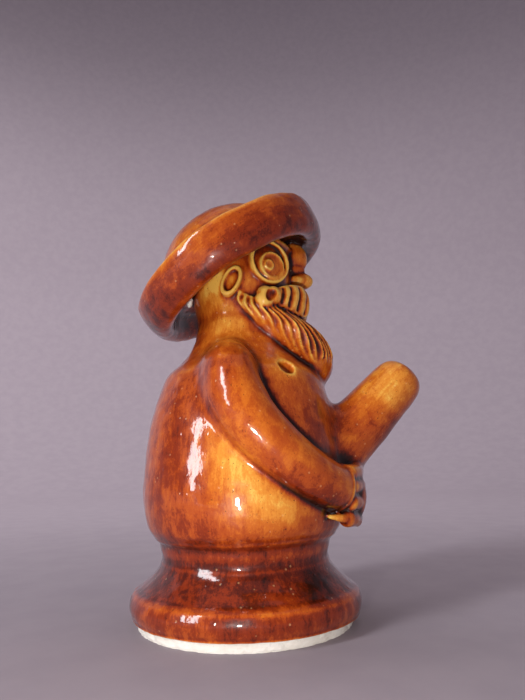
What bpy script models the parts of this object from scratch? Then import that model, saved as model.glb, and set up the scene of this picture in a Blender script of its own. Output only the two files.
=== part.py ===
"""A glazed pottery figurine: a bearded figure in a thick round hat, hands on the belly below a blunt spout.

It is built as the potter builds it, from thrown and hand-modelled pieces of clay. Each piece is seated on
the one below with a thin line of slip between them. The figure faces -Y, its right side is -X, and it
stands on Z = 0 with the pot's turning axis on X = Y = 0. Lengths are in metres.
"""

import math

import bmesh
import bpy
from mathutils import Matrix, Vector

MM = 0.001
SLIP = 0.3 * MM  # the line of slip between two pieces
FACETS = 32  # sides of a thrown piece
WELD = 0.002 * MM  # points nearer than this are one

# Thrown body, as radius and height above the floor in millimetres, from the foot up.
FOOT_RADIUS = 36.8
FOOT_HEIGHT = 3.0
SPIGOT_RADIUS = 30.0  # the part of the foot that is set into the flange
SPIGOT_TOP = 5.0
FLANGE_OUTER = [(37.2, 3.3), (39.2, 5.2), (39.8, 7.8), (38.9, 10.3), (36.5, 12.3), (33.0, 15.4),
                (30.2, 18.8), (29.3, 22.0), (30.1, 26.0)]
FLANGE_INNER = [(25.0, 26.0), (25.0, 23.4), (26.0, 17.5), (30.0, 12.5), (32.6, 8.0), (30.3, 5.3), (30.3, 3.3)]
BODY_OUTER = [(30.5, 26.3), (32.9, 29.2), (34.7, 33.2), (35.9, 41.7), (35.2, 53.6), (33.7, 66.2),
              (31.0, 77.0), (28.3, 83.9), (23.9, 88.5), (20.2, 93.2), (17.6, 98.4)]
BODY_INNER = [(12.6, 98.4), (13.2, 95.0), (19.0, 86.0), (26.0, 78.5), (29.2, 66.0), (30.8, 52.0),
              (30.4, 40.0), (27.5, 31.5), (21.5, 26.5), (21.5, 24.0)]
TONGUE_RADIUS = 24.7

# Neck and head on the same axis.
HEAD_OUTER = [(17.6, 98.7), (17.0, 104.5), (18.0, 110.5), (19.2, 117.0), (19.6, 124.0), (19.5, 131.0),
              (18.4, 137.0), (13.0, 142.0), (0.0, 144.0)]
HEAD_INNER = [(0.0, 113.5), (7.5, 112.0), (11.6, 106.0), (9.5, 99.5), (9.3, 96.2)]
HEAD_RADIUS = 19.6

# Hat, tipped back about its own centre. Its profile is radius and height along its own axis.
HAT_CENTRE = Vector((0.0, 3.9, 127.5)) * MM
HAT_TILT = math.radians(31.6)
BRIM_RADIUS = 39.5
BRIM_OUTER = [(27.0, 4.0), (34.0, 4.5), (38.2, 4.9), (39.4, 3.4), (BRIM_RADIUS, -0.5), (38.7, -5.2),
              (36.8, -8.6), (34.2, -9.9), (31.4, -8.8), (28.6, -5.2), (25.5, -2.8)]
SOCKET_RADIUS = 8.3
SOCKET_TOP = 1.5
BOSS_RADIUS = 21.5
BOSS_TOP = 5.8
SEAT_HEIGHT = -2.8  # underside of the brim, where the head is seated
CROWN_RADIUS = 26.0
CROWN_WALL = 3.7
CROWN_BASE = 4.3
CROWN_RISE = 19.3
AIR_BORE = 1.5  # lets the trapped air out in the kiln

# Spout: where its axis leaves the belly, its lean, and radius against distance along the axis.
SPOUT_ROOT = Vector((0.0, -39.2, 62.8)) * MM
SPOUT_LEAN = math.radians(44.6)
SPOUT_OUTER = [(12.3, -14.0), (11.5, 0.0), (10.9, 10.0), (9.9, 19.0), (9.3, 26.0), (8.0, 30.0), (5.2, 32.3),
               (0.0, 33.3)]
SPOUT_BORE = 5.5
SPOUT_BORE_END = 26.0
SPOUT_FLOOR = 50.6  # the spout's root stops here, above the hands

VENT_CENTRE = Vector((-22.0, -15.5, 84.3)) * MM
VENT_AXIS = Vector((-0.62, -0.44, 0.65))
VENT_RADIUS = 3.1

# Right sleeve: centre line and roll radius in millimetres, from the shoulder to the cuff.
SLEEVE = [((-19.5, 4.5, 89.0), 6.6), ((-26.5, 3.6, 83.6), 8.8), ((-31.0, 1.6, 75.0), 9.3),
          ((-32.8, -4.0, 65.0), 9.0), ((-31.6, -12.2, 56.2), 8.7), ((-27.0, -21.0, 49.0), 8.4),
          ((-20.5, -28.6, 45.0), 8.0), ((-17.0, -31.0, 44.2), 7.5)]

# Right hand: heights of the four fingers that lie round the belly, and the thumb under the cuff.
FINGER_HEIGHTS = [48.9, 44.0, 39.1, 34.4]
FINGER_RADIUS = 2.9
FINGER_PATH_RADIUS = 40.6
FINGER_SPAN = (27.0, 5.0)  # degrees round the belly from the front
PALM_CENTRE = Vector((-10.5, -36.8, 41.8)) * MM
PALM_SIZE = Vector((7.0, 5.4, 9.6)) * MM
WRIST = [((-22.0, -28.8, 45.0), 3.6), ((-16.0, -33.4, 43.8), 4.0), ((-9.0, -37.0, 42.0), 4.2)]
THUMB = [((-22.0, -30.6, 36.4), 1.3), ((-17.5, -34.4, 34.2), 1.8), ((-12.0, -38.0, 32.8), 2.2)]

# Beard rows from the cheeks to the tip: side angle, side radius, side height, front radius, front height.
BEARD_ROWS = [(95.0, 20.8, 114.0, 22.4, 107.6), (93.0, 20.8, 109.2, 26.0, 104.2),
              (75.0, 20.6, 102.4, 31.0, 99.3), (54.0, 21.6, 96.8, 33.8, 94.0), (35.0, 24.0, 91.0, 34.6, 88.6),
              (17.0, 28.6, 85.4, 33.6, 84.2), (8.0, 30.6, 82.2, 32.0, 81.4)]
BEARD_COLUMNS = 15

# Moustache: angle from the front, top height, bottom height and radius of its face.
MOUSTACHE_ROWS = [(2.5, 116.2, 107.6, 26.2), (14.0, 117.4, 105.6, 26.4), (27.0, 117.0, 105.6, 25.6),
                  (40.0, 116.0, 106.6, 24.6), (50.0, 114.6, 108.2, 23.4)]
SLATS = 5
SLAT_DEPTH = 0.5

EYE_ANGLE = 57.0
EYE_HEIGHT = 124.1
EYE_RING_OUTER = 8.2
EYE_RING_INNER = 7.0
EYE_DISC_RADIUS = 5.2
DISC_FACE = 1.0  # height of the disc inside its rim
PUPIL_RADIUS = 1.35
PUPIL_WIRE = 0.45
DISC_SHIFT = (-0.8, -1.3)  # towards the nose and up
PUPIL_SHIFT = (0.9, -1.5)
CURL_ANGLE = 61.0
CURL_HEIGHT = 110.4
EAR_ANGLE = 98.0
EAR_HEIGHT = 116.2
EAR_LENGTH = 11.8
EAR_WIDTH = 6.6
EAR_LEAN = 26.0

GLAZE = (0.30, 0.085, 0.015)
HONEY = (0.52, 0.24, 0.035)
DARK_GLAZE = (0.16, 0.035, 0.008)
BARE_CLAY = (0.80, 0.73, 0.60)


def clear_scene():
    for obj in list(bpy.data.objects):
        bpy.data.objects.remove(obj)


def new_collection(name):
    collection = bpy.data.collections.new(name)
    bpy.context.scene.collection.children.link(collection)
    return collection


def glaze_material(name, colour, roughness):
    material = bpy.data.materials.new(name)
    material.use_nodes = True
    shader = material.node_tree.nodes["Principled BSDF"]
    shader.inputs["Base Color"].default_value = (*colour, 1.0)
    shader.inputs["Roughness"].default_value = roughness
    shader.inputs["Metallic"].default_value = 0.0
    return material


def link_mesh(name, mesh, collection):
    obj = bpy.data.objects.new(name, mesh)
    collection.objects.link(obj)
    return obj


def as_cutter(obj):
    """Moves an object to the collection of tools, which is never rendered."""
    for collection in list(obj.users_collection):
        collection.objects.unlink(obj)
    tools.objects.link(obj)
    obj.hide_render = True
    obj.display_type = "WIRE"
    return obj


def finish(obj, colour, roughness=0.12):
    """Gives a piece its own material, smooth faces and its place in the collection."""
    obj.data.materials.clear()
    obj.data.materials.append(glaze_material(obj.name, colour, roughness))
    obj.data.shade_smooth()
    return obj


def bake(obj):
    """Turns a curve or a mesh with modifiers into a plain mesh object in world space."""
    bpy.context.view_layer.update()
    evaluated = obj.evaluated_get(bpy.context.evaluated_depsgraph_get())
    mesh = bpy.data.meshes.new_from_object(evaluated)
    mesh.transform(obj.matrix_world)
    name = obj.name
    bpy.data.objects.remove(obj)
    work = bmesh.new()
    work.from_mesh(mesh)
    bmesh.ops.remove_doubles(work, verts=work.verts, dist=WELD)
    bmesh.ops.recalc_face_normals(work, faces=work.faces)
    work.to_mesh(mesh)
    work.free()
    mesh.name = name
    return link_mesh(name, mesh, figurine)


def boolean(obj, other, operation="DIFFERENCE"):
    modifier = obj.modifiers.new(other.name, "BOOLEAN")
    modifier.operation = operation
    modifier.solver = "EXACT"
    modifier.object = other
    return bake(obj)


def clearance(obj, amount=SLIP):
    """A tool of the same shape as a piece, grown by the line of slip."""
    mesh = obj.data.copy()
    grown = bmesh.new()
    grown.from_mesh(mesh)
    grown.normal_update()
    moves = [vert.normal * amount for vert in grown.verts]
    for vert, move in zip(grown.verts, moves):
        vert.co += move
    grown.to_mesh(mesh)
    grown.free()
    return as_cutter(link_mesh(obj.name + "_clearance", mesh, figurine))


def room_for(name, profile):
    """A tool with the outside of a thrown piece, solid to the axis and grown by the line of slip."""
    outer = [tuple(point) for point in smooth_line(profile[::-1], 2)]
    return clearance(as_cutter(turned(name, [(0.0, outer[0][1]), *outer, (0.0, outer[-1][1])], FACETS)))


def seat_on(obj, *supports):
    """Cuts a piece to the faces of the pieces that it lies on."""
    for support in supports:
        obj = boolean(obj, support)
    return obj


def mirrored(obj, name):
    """The same piece on the figure's left side."""
    mesh = obj.data.copy()
    mesh.transform(Matrix.Scale(-1.0, 4, Vector((1.0, 0.0, 0.0))))
    mesh.flip_normals()
    return link_mesh(name, mesh, figurine)


def smooth_line(points, steps=3):
    """A Catmull-Rom line through the points, with its ends kept."""
    vectors = [Vector(point) for point in points]
    padded = [2 * vectors[0] - vectors[1], *vectors, 2 * vectors[-1] - vectors[-2]]
    line = []
    for before, start, end, after in zip(padded, padded[1:], padded[2:], padded[3:]):
        for step in range(steps):
            t = step / steps
            line.append(0.5 * (2 * start + (end - before) * t
                               + (2 * before - 5 * start + 4 * end - after) * t * t
                               + (3 * start - before - 3 * end + after) * t * t * t))
    return [*line, vectors[-1]]


def turned(name, profile, segments, closed=False, place=None):
    """A thrown piece: its profile, in millimetres, screwed round its axis.

    The profile runs down the outside and back up the inside. A closed one is a ring.
    """
    points = [Vector((radius, 0.0, height)) * MM for radius, height in profile]
    edges = [(index, index + 1) for index in range(len(points) - 1)]
    if closed:
        edges.append((len(points) - 1, 0))
    mesh = bpy.data.meshes.new(name)
    mesh.from_pydata(points, edges, [])
    obj = link_mesh(name, mesh, figurine)
    screw = obj.modifiers.new("Throw", "SCREW")
    screw.steps = segments
    screw.render_steps = segments
    screw.use_merge_vertices = True
    screw.merge_threshold = WELD
    obj.matrix_world = place or Matrix.Identity(4)
    return bake(obj)


def rolled(name, path, sides=2, steps=3):
    """A hand-rolled piece: a bevelled curve through (centre, radius) points, closed by round ends."""
    centres = smooth_line([Vector(centre) * MM for centre, _ in path], steps)
    radii = smooth_line([Vector((radius * MM, 0.0, 0.0)) for _, radius in path], steps)
    rolled_line = [(centre, radius.x) for centre, radius in zip(centres, radii)]
    start, end = rounded_end(rolled_line[1], rolled_line[0]), rounded_end(rolled_line[-2], rolled_line[-1])
    rolled_line = [*reversed(start), *rolled_line, *end]
    curve = bpy.data.curves.new(name, "CURVE")
    curve.dimensions = "3D"
    curve.bevel_depth = 1.0
    curve.bevel_resolution = sides
    curve.use_fill_caps = True
    spline = curve.splines.new("POLY")
    spline.points.add(len(rolled_line) - 1)
    for point, (centre, radius) in zip(spline.points, rolled_line):
        point.co = (*centre, 1.0)
        point.radius = radius
    obj = bpy.data.objects.new(name, curve)
    figurine.objects.link(obj)
    return bake(obj)


def rounded_end(inside, last):
    """Three more rings past the last point, which close a roll with a round end."""
    centre, radius = last
    out = (centre - inside[0]).normalized()
    angles = [math.radians(angle) for angle in (30.0, 55.0, 77.0)]
    return [(centre + out * radius * 0.8 * math.sin(angle), radius * math.cos(angle)) for angle in angles]


def ball(name, centre, size, place=None, segments=20):
    """An ellipsoid from a sphere primitive."""
    work = bmesh.new()
    bmesh.ops.create_uvsphere(work, u_segments=segments, v_segments=segments // 2, radius=1.0)
    mesh = bpy.data.meshes.new(name)
    work.to_mesh(mesh)
    work.free()
    scale = Matrix.Diagonal((*size, 1.0))
    mesh.transform(Matrix.Translation(centre) @ (place or Matrix.Identity(4)) @ scale)
    return link_mesh(name, mesh, figurine)


def rod(name, start, end, radius, segments=16):
    """A cylinder between two points."""
    work = bmesh.new()
    axis = end - start
    bmesh.ops.create_cone(work, cap_ends=True, segments=segments, radius1=radius, radius2=radius,
                          depth=axis.length)
    mesh = bpy.data.meshes.new(name)
    work.to_mesh(mesh)
    work.free()
    turn = axis.to_track_quat("Z", "Y").to_matrix().to_4x4()
    mesh.transform(Matrix.Translation((start + end) / 2) @ turn)
    return link_mesh(name, mesh, figurine)


def wrapped_slab(name, rows, core_radius):
    """A hand-pressed pad: rows of outer points round the head, closed through a core line at the axis.

    The pieces that the pad lies on cut the core away.
    """
    work = bmesh.new()
    outer = [[work.verts.new(point) for point in row] for row in rows]
    inner = [[work.verts.new(toward_axis(point, core_radius)) for point in row] for row in rows]
    last_row, last_column = len(rows) - 1, len(rows[0]) - 1
    for row in range(last_row):
        for column in range(last_column):
            for grid, flip in ((outer, False), (inner, True)):
                corners = [grid[row][column], grid[row][column + 1], grid[row + 1][column + 1],
                           grid[row + 1][column]]
                work.faces.new(corners[::-1] if flip else corners)
    for row in range(last_row):
        for column in (0, last_column):
            work.faces.new([outer[row][column], inner[row][column], inner[row + 1][column],
                            outer[row + 1][column]])
    for column in range(last_column):
        for row in (0, last_row):
            work.faces.new([outer[row][column], inner[row][column], inner[row][column + 1],
                            outer[row][column + 1]])
    bmesh.ops.recalc_face_normals(work, faces=work.faces)
    mesh = bpy.data.meshes.new(name)
    work.to_mesh(mesh)
    work.free()
    return link_mesh(name, mesh, figurine)


def toward_axis(point, core_radius):
    flat = Vector((point.x, point.y, 0.0)).normalized() * core_radius * MM
    return Vector((flat.x, flat.y, point.z))


def round_the_head(angle, radius, height):
    """A point round the turning axis. The angle is measured from the front towards the figure's right."""
    turn = math.radians(angle)
    return Vector((-radius * math.sin(turn), -radius * math.cos(turn), height)) * MM


def on_the_head(angle, height, out=0.0, lean=0.0):
    """A frame on the head's surface: Z out of the head, Y up, X towards the back of the right side."""
    turn = math.radians(angle)
    origin = round_the_head(angle, HEAD_RADIUS + out, height)
    out_axis = Vector((-math.sin(turn), -math.cos(turn), 0.0))
    up_axis = Vector((0.0, 0.0, 1.0))
    side_axis = up_axis.cross(out_axis)
    frame = Matrix((side_axis, up_axis, out_axis)).transposed().to_4x4()
    frame.translation = origin
    return frame @ Matrix.Rotation(math.radians(lean), 4, "Z")


def hat_frame():
    return Matrix.Translation(HAT_CENTRE) @ Matrix.Rotation(-HAT_TILT, 4, "X")


def in_hat(radius_side, radius_back, height):
    return hat_frame() @ (Vector((radius_side, radius_back, height)) * MM)


# ---- thrown pieces ----

def make_foot():
    profile = [(0.0, SPIGOT_TOP), (SPIGOT_RADIUS, SPIGOT_TOP), (SPIGOT_RADIUS, FOOT_HEIGHT),
               (FOOT_RADIUS - 0.4, FOOT_HEIGHT), (FOOT_RADIUS, FOOT_HEIGHT - 0.5), (FOOT_RADIUS, 0.6),
               (FOOT_RADIUS - 0.6, 0.0), (0.0, 0.0)]
    return finish(turned("foot_slab", profile, FACETS), BARE_CLAY, 0.85)


def make_flange():
    outer = [tuple(point) for point in smooth_line(reversed(FLANGE_OUTER), 2)]
    return finish(turned("base_flange", outer + FLANGE_INNER[::-1], FACETS, closed=True), GLAZE)


def make_body():
    outer = [tuple(point) for point in smooth_line(reversed(BODY_OUTER), 2)]
    step = [(TONGUE_RADIUS, BODY_OUTER[0][1]), (TONGUE_RADIUS, BODY_INNER[-1][1])]
    body = turned("body_shell", outer + step + BODY_INNER[::-1], FACETS, closed=True)
    reach = VENT_AXIS.normalized() * 12 * MM
    vent = rod("vent_hole", VENT_CENTRE - reach, VENT_CENTRE + reach, VENT_RADIUS * MM)
    port = rod("spout_port", along_spout(-16.0), along_spout(8.0), SPOUT_BORE * MM)
    return finish(boolean(boolean(body, as_cutter(vent)), as_cutter(port)), GLAZE)


def make_head():
    outer = [tuple(point) for point in smooth_line(reversed(HEAD_OUTER), 2)]
    tongue_radius = BODY_INNER[0][0] - 0.3
    step = [(tongue_radius, HEAD_OUTER[0][1]), (tongue_radius, HEAD_INNER[-1][1])]
    head = turned("head", outer + step + HEAD_INNER[::-1], FACETS)
    seat = Matrix.Translation((0.0, 0.0, (50.0 + SEAT_HEIGHT) * MM - SLIP))
    head = boolean(head, block("above_seat", 100.0, hat_frame() @ seat))
    tenon_radius = (SOCKET_RADIUS - 0.3) * MM
    tenon = rod("tenon", in_hat(0, 0, SEAT_HEIGHT - 4.0), in_hat(0, 0, SOCKET_TOP - 0.3), tenon_radius)
    head = boolean(head, as_cutter(tenon), "UNION")
    bore = rod("air_bore", in_hat(0, 0, 8.0), in_hat(0, 0, -19.0), AIR_BORE * MM, 12)
    return finish(boolean(head, as_cutter(bore)), HONEY)


def make_brim():
    boss = [(BOSS_RADIUS - 0.4, BOSS_TOP), (BOSS_RADIUS, BOSS_TOP - 0.4), (BOSS_RADIUS, BRIM_OUTER[0][1])]
    outer = [tuple(point) for point in smooth_line(BRIM_OUTER, 2)]
    socket = [(SOCKET_RADIUS, SEAT_HEIGHT), (SOCKET_RADIUS, SOCKET_TOP), (AIR_BORE, SOCKET_TOP)]
    profile = [(AIR_BORE, BOSS_TOP), *boss, *outer, *socket]
    return finish(turned("hat_brim", profile, FACETS + 4, closed=True, place=hat_frame()), GLAZE)


def make_crown():
    arc = [math.radians(90.0 * step / 8) for step in range(9)]
    outer = [(CROWN_RADIUS * math.sin(a), CROWN_BASE + CROWN_RISE * math.cos(a)) for a in arc]
    inner_radius, inner_rise = CROWN_RADIUS - CROWN_WALL, CROWN_RISE - CROWN_WALL
    inner = [(inner_radius * math.sin(a), CROWN_BASE + inner_rise * math.cos(a)) for a in reversed(arc[::2])]
    return finish(turned("hat_crown", outer + inner, FACETS, place=hat_frame()), GLAZE)


# ---- spout ----

def along_spout(distance):
    return SPOUT_ROOT + Vector((0.0, -math.cos(SPOUT_LEAN), math.sin(SPOUT_LEAN))) * distance * MM


def block(name, size, place):
    """A cube primitive, as a tool."""
    work = bmesh.new()
    bmesh.ops.create_cube(work, size=size * MM, matrix=place)
    mesh = bpy.data.meshes.new(name)
    work.to_mesh(mesh)
    work.free()
    return as_cutter(link_mesh(name, mesh, figurine))


def make_spout(*supports):
    outer = [tuple(point) for point in smooth_line(reversed(SPOUT_OUTER), 2)]
    bore = [(SPOUT_BORE, SPOUT_OUTER[0][1]), (SPOUT_BORE, SPOUT_BORE_END), (0.0, SPOUT_BORE_END + 2.0)]
    place = Matrix.Translation(SPOUT_ROOT) @ Matrix.Rotation(math.pi / 2 - SPOUT_LEAN, 4, "X")
    spout = turned("front_spout", outer + bore, 24, place=place)
    under = block("under_spout", 60.0, Matrix.Translation((0.0, -40 * MM, (SPOUT_FLOOR - 30.0) * MM)))
    return seat_on(spout, under, *supports)


# ---- arms and hands ----

def make_hand(wrist, sleeve_clearance, body_clearance):
    """A palm with four fingers and a thumb outside the cuff, and a wrist that is set into it."""
    hand = ball("hand_right", PALM_CENTRE, PALM_SIZE)
    start, end = FINGER_SPAN
    for height in FINGER_HEIGHTS:
        angles = [start + (end - start) * step / 4 for step in range(5)]
        path = [(round_the_head(angle, FINGER_PATH_RADIUS, height) / MM, FINGER_RADIUS) for angle in angles]
        hand = boolean(hand, as_cutter(rolled("finger", path, 1, 1)), "UNION")
    hand = boolean(hand, as_cutter(rolled("thumb", THUMB, 1, 2)), "UNION")
    hand = boolean(seat_on(hand, sleeve_clearance), wrist, "UNION")
    return seat_on(hand, body_clearance)


# ---- face ----

def make_beard(head_clearance, body_clearance):
    rows = []
    for side_angle, side_radius, side_height, front_radius, front_height in BEARD_ROWS:
        row = []
        for column in range(BEARD_COLUMNS):
            across = 2 * column / (BEARD_COLUMNS - 1) - 1
            front = math.cos(across * math.pi / 2) ** 0.8
            radius = side_radius + (front_radius - side_radius) * front
            height = side_height + (front_height - side_height) * front
            row.append(round_the_head(side_angle * across, radius, height))
        rows.append(row)
    beard = wrapped_slab("beard", rows, 6.0)
    return seat_on(beard, head_clearance, body_clearance)


def make_moustache(head_clearance, beard_clearance, curl_clearance):
    angles = smooth_line([(row[0], row[3], 0.0) for row in MOUSTACHE_ROWS], SLATS)
    tops = smooth_line([(row[1], row[2], 0.0) for row in MOUSTACHE_ROWS], SLATS)
    columns = []
    for index, (angle, height) in enumerate(zip(angles, tops)):
        slat = SLAT_DEPTH * math.cos(2 * math.pi * index / 4)
        middle = (height.x + height.y) / 2
        half = (height.x - height.y) / 2
        column = []
        for level in (1.0, 0.8, 0.4, 0.0, -0.4, -0.8, -1.0):
            bulge = 1.6 * (1 - abs(level) ** 3)
            column.append(round_the_head(angle.x, angle.y - 1.6 + bulge + slat, middle + half * level))
        columns.append(column)
    slab = wrapped_slab("moustache_right", columns, 12.0)
    return seat_on(slab, head_clearance, beard_clearance, curl_clearance)


def make_nose(*supports):
    nose = ball("nose", Vector((0.0, -20.2, 131.6)) * MM, Vector((4.2, 6.0, 6.6)) * MM)
    for name, centre, size in (("nose_back", (0.0, -20.6, 126.4), (3.4, 4.4, 5.4)),
                               ("nose_tip", (0.0, -21.6, 122.0), (3.9, 6.6, 3.8))):
        lump = ball(name, Vector(centre) * MM, Vector(size) * MM)
        nose = boolean(nose, as_cutter(lump), "UNION")
    return seat_on(nose, *supports)


def make_eye_ring(head_clearance):
    depth, crest = -4.5, 1.5
    profile = [(EYE_RING_INNER + 0.3, crest), (EYE_RING_OUTER - 0.3, crest), (EYE_RING_OUTER, crest - 0.5),
               (EYE_RING_OUTER + 0.1, depth), (EYE_RING_INNER, depth), (EYE_RING_INNER, crest - 0.4)]
    ring = turned("eye_ring_right", profile, 28, closed=True, place=on_the_head(EYE_ANGLE, EYE_HEIGHT))
    return seat_on(ring, head_clearance)


def in_the_eye(shift, out=0.0):
    """A frame in the eye, moved towards the nose and up."""
    place = on_the_head(EYE_ANGLE, EYE_HEIGHT, out=out)
    return place @ Matrix.Translation(Vector((-shift[0], shift[1], 0.0)) * MM)


def make_eye_disc(head_clearance):
    rim = EYE_DISC_RADIUS
    profile = [(0.0, DISC_FACE), (rim - 1.5, DISC_FACE), (rim - 0.8, 1.7), (rim - 0.3, 1.7), (rim, 1.1),
               (rim, -3.0), (0.0, -3.0)]
    disc = turned("eye_disc_right", profile, 24, place=in_the_eye(DISC_SHIFT))
    return seat_on(disc, head_clearance)


def make_pupil():
    place = in_the_eye(PUPIL_SHIFT, out=DISC_FACE + 0.3 + PUPIL_WIRE)
    angles = [math.radians(60.0 * step) for step in range(6)]
    wire = [(PUPIL_RADIUS + PUPIL_WIRE * math.cos(a), -PUPIL_WIRE * math.sin(a)) for a in angles]
    return turned("pupil_ring_right", wire, 16, closed=True, place=place)


def make_curl(head_clearance, beard_clearance):
    place = on_the_head(CURL_ANGLE, CURL_HEIGHT, lean=20.0)
    centre = round_the_head(CURL_ANGLE, HEAD_RADIUS + 2.6, CURL_HEIGHT)
    curl = ball("moustache_curl_right", centre, Vector((3.1, 3.6, 2.4)) * MM, place.to_3x3().to_4x4(), 16)
    return seat_on(curl, head_clearance, beard_clearance)


def almond(name, length, width, bottom, top, place):
    """A petal outline with pointed ends, as a filled curve with thickness."""
    curve = bpy.data.curves.new(name, "CURVE")
    curve.dimensions = "2D"
    curve.fill_mode = "BOTH"
    curve.extrude = (top - bottom) / 2 * MM
    spline = curve.splines.new("POLY")
    half = 9
    outline = []
    for side in (1.0, -1.0):
        for step in range(half):
            t = step / half
            y = side * math.cos(math.pi * t) * length / 2
            outline.append((side * width / 2 * math.sin(math.pi * t) ** 0.9, y))
    spline.points.add(len(outline) - 1)
    for point, (x, y) in zip(spline.points, outline):
        point.co = (x * MM, y * MM, 0.0, 1.0)
    spline.use_cyclic_u = True
    obj = bpy.data.objects.new(name, curve)
    figurine.objects.link(obj)
    obj.matrix_world = place @ Matrix.Translation((0.0, 0.0, (top + bottom) / 2 * MM))
    return bake(obj)


def make_ear(*supports):
    place = on_the_head(EAR_ANGLE, EAR_HEIGHT, lean=-EAR_LEAN)
    ear = almond("ear_right", EAR_LENGTH, EAR_WIDTH, -4.0, 2.0, place)
    hollow = almond("ear_hollow", EAR_LENGTH - 3.2, EAR_WIDTH - 2.6, 0.6, 4.0, place)
    ear = boolean(ear, as_cutter(hollow))
    return seat_on(ear, *supports)


def make_pair(right):
    """Finishes the right piece and makes its twin on the left."""
    left = mirrored(right, right.name.replace("_right", "_left"))
    return right, left


clear_scene()
figurine = new_collection("pottery_figurine")
tools = new_collection("tools")
tools.hide_render = True

make_foot()
make_flange()
make_body()
make_head()
brim = make_brim()
make_crown()
body_room = room_for("body_outside", BODY_OUTER)
head_room = room_for("head_outside", HEAD_OUTER)
brim_room = clearance(brim)

sleeve = rolled("sleeve_right", SLEEVE, 4, 3)
wrist = as_cutter(rolled("wrist", WRIST, 2, 2))
hand = make_hand(wrist, clearance(sleeve), body_room)
sleeve = seat_on(sleeve, body_room, clearance(wrist))
beard = finish(make_beard(head_room, body_room), GLAZE)
beard_room = clearance(beard)
curl = make_curl(head_room, beard_room)
moustache = make_moustache(head_room, beard_room, clearance(curl))
eye_ring = seat_on(make_eye_ring(head_room), brim_room)
nose = make_nose(head_room, brim_room, clearance(moustache), clearance(eye_ring))
finish(nose, HONEY)
ear = make_ear(head_room, beard_room, brim_room)

pairs = [(hand, HONEY), (sleeve, GLAZE), (curl, HONEY), (moustache, DARK_GLAZE), (eye_ring, HONEY),
         (make_eye_disc(head_room), GLAZE), (make_pupil(), HONEY), (ear, GLAZE)]
for piece, colour in pairs:
    for side in make_pair(piece):
        finish(side, colour)

arm_names = [part + side for part in ("hand", "sleeve") for side in ("_right", "_left")]
arms = [clearance(bpy.data.objects[name]) for name in arm_names]
finish(make_spout(body_room, *arms), GLAZE)
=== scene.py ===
"""Looks of the glazed pottery figurine.

The potter's pieces are built again in full detail, fused under one skin of glaze, and the skin is parted
into one piece for each node, so that the glaze runs unbroken over every joint. How thick the glaze lies is
worked out from the shape: it pools in hollows and breaks thin over ridges. Lengths are in millimetres until a
mesh is made. The right side of the figure, at negative X, is built and then mirrored.
"""

import math

import bmesh
import bpy
import numpy as np
from mathutils import Matrix, Vector
from mathutils.bvhtree import BVHTree


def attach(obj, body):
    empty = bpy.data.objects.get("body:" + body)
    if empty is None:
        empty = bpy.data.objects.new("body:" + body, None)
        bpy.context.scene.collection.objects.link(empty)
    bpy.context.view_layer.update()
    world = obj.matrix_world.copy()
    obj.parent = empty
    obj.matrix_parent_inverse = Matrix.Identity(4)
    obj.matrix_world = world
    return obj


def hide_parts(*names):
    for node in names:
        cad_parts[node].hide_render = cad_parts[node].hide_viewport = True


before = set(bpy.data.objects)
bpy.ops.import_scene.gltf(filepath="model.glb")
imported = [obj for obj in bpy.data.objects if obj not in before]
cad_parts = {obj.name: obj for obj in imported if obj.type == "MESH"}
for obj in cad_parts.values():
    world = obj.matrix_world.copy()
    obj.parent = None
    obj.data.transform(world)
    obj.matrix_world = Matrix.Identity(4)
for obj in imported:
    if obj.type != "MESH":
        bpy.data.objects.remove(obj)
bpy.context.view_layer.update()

MM = 0.001
BODY = "root"
VOXEL = 0.42  # grain of the fused skin
SIDES = 220  # sides of a thrown piece

# ---- sizes: the CAD's, and those of the finer shapes that only the looks need ----
# A thrown profile is a list of (radius, height), and a roll of clay one of (centre, radius).
FOOT_RADIUS = 36.8
FLANGE = [(36.9, 3.0), (38.3, 3.6), (39.4, 5.2), (39.8, 7.8), (38.9, 10.3), (36.5, 12.3), (33.0, 15.4),
          (30.2, 18.8), (29.3, 22.0), (30.0, 25.6)]
TRUNK = [(30.4, 26.9), (32.9, 29.6), (34.7, 33.2), (35.9, 41.7), (35.2, 53.6), (33.7, 66.2), (31.0, 77.0),
         (28.3, 83.9), (23.9, 88.5), (20.2, 93.2), (17.6, 98.4)]
HEAD = [(17.6, 98.4), (17.0, 104.5), (18.0, 110.5), (19.2, 117.0), (19.6, 124.0), (19.5, 131.0)]
HEAD_RADIUS = 19.6
HAT_CENTRE = Vector((0.0, 3.9, 127.5))
HAT_TILT = math.radians(31.6)
BRIM = [(27.0, 4.0), (34.0, 4.5), (38.2, 4.9), (39.4, 3.4), (39.5, -0.5), (38.7, -5.2), (36.8, -8.6),
        (34.2, -9.9), (31.4, -8.8), (28.6, -5.2), (25.5, -2.8)]
CROWN_RADIUS = 26.0
CROWN_BASE = 4.3
CROWN_RISE = 19.3
SPOUT_ROOT = Vector((0.0, -39.2, 62.8))
SPOUT_LEAN = math.radians(44.6)
SPOUT = [(12.3, -14.0), (11.5, 0.0), (10.9, 10.0), (9.9, 19.0), (9.3, 26.0), (8.0, 30.0), (5.2, 32.3),
         (0.0, 33.3)]
VENT_CENTRE = Vector((-22.0, -15.5, 84.3))
VENT_AXIS = Vector((-0.62, -0.44, 0.65))
VENT_RADIUS = 3.1
SLEEVE = [((-19.5, 4.5, 89.0), 7.0), ((-26.5, 3.6, 83.6), 9.2), ((-31.0, 1.6, 75.0), 9.5),
          ((-32.8, -4.0, 65.0), 9.1), ((-31.6, -12.2, 56.2), 8.7), ((-27.0, -21.0, 49.0), 8.4),
          ((-20.5, -28.6, 45.0), 8.0), ((-16.8, -31.0, 44.2), 7.5)]
CUFF_RIM_RADIUS = 7.8
CUFF_RIM_WIDTH = 1.5
CUFF_RIM_RISE = 0.7
CUFF_RIM_PLACE = 0.42  # share of the sleeve's last stretch
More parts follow.
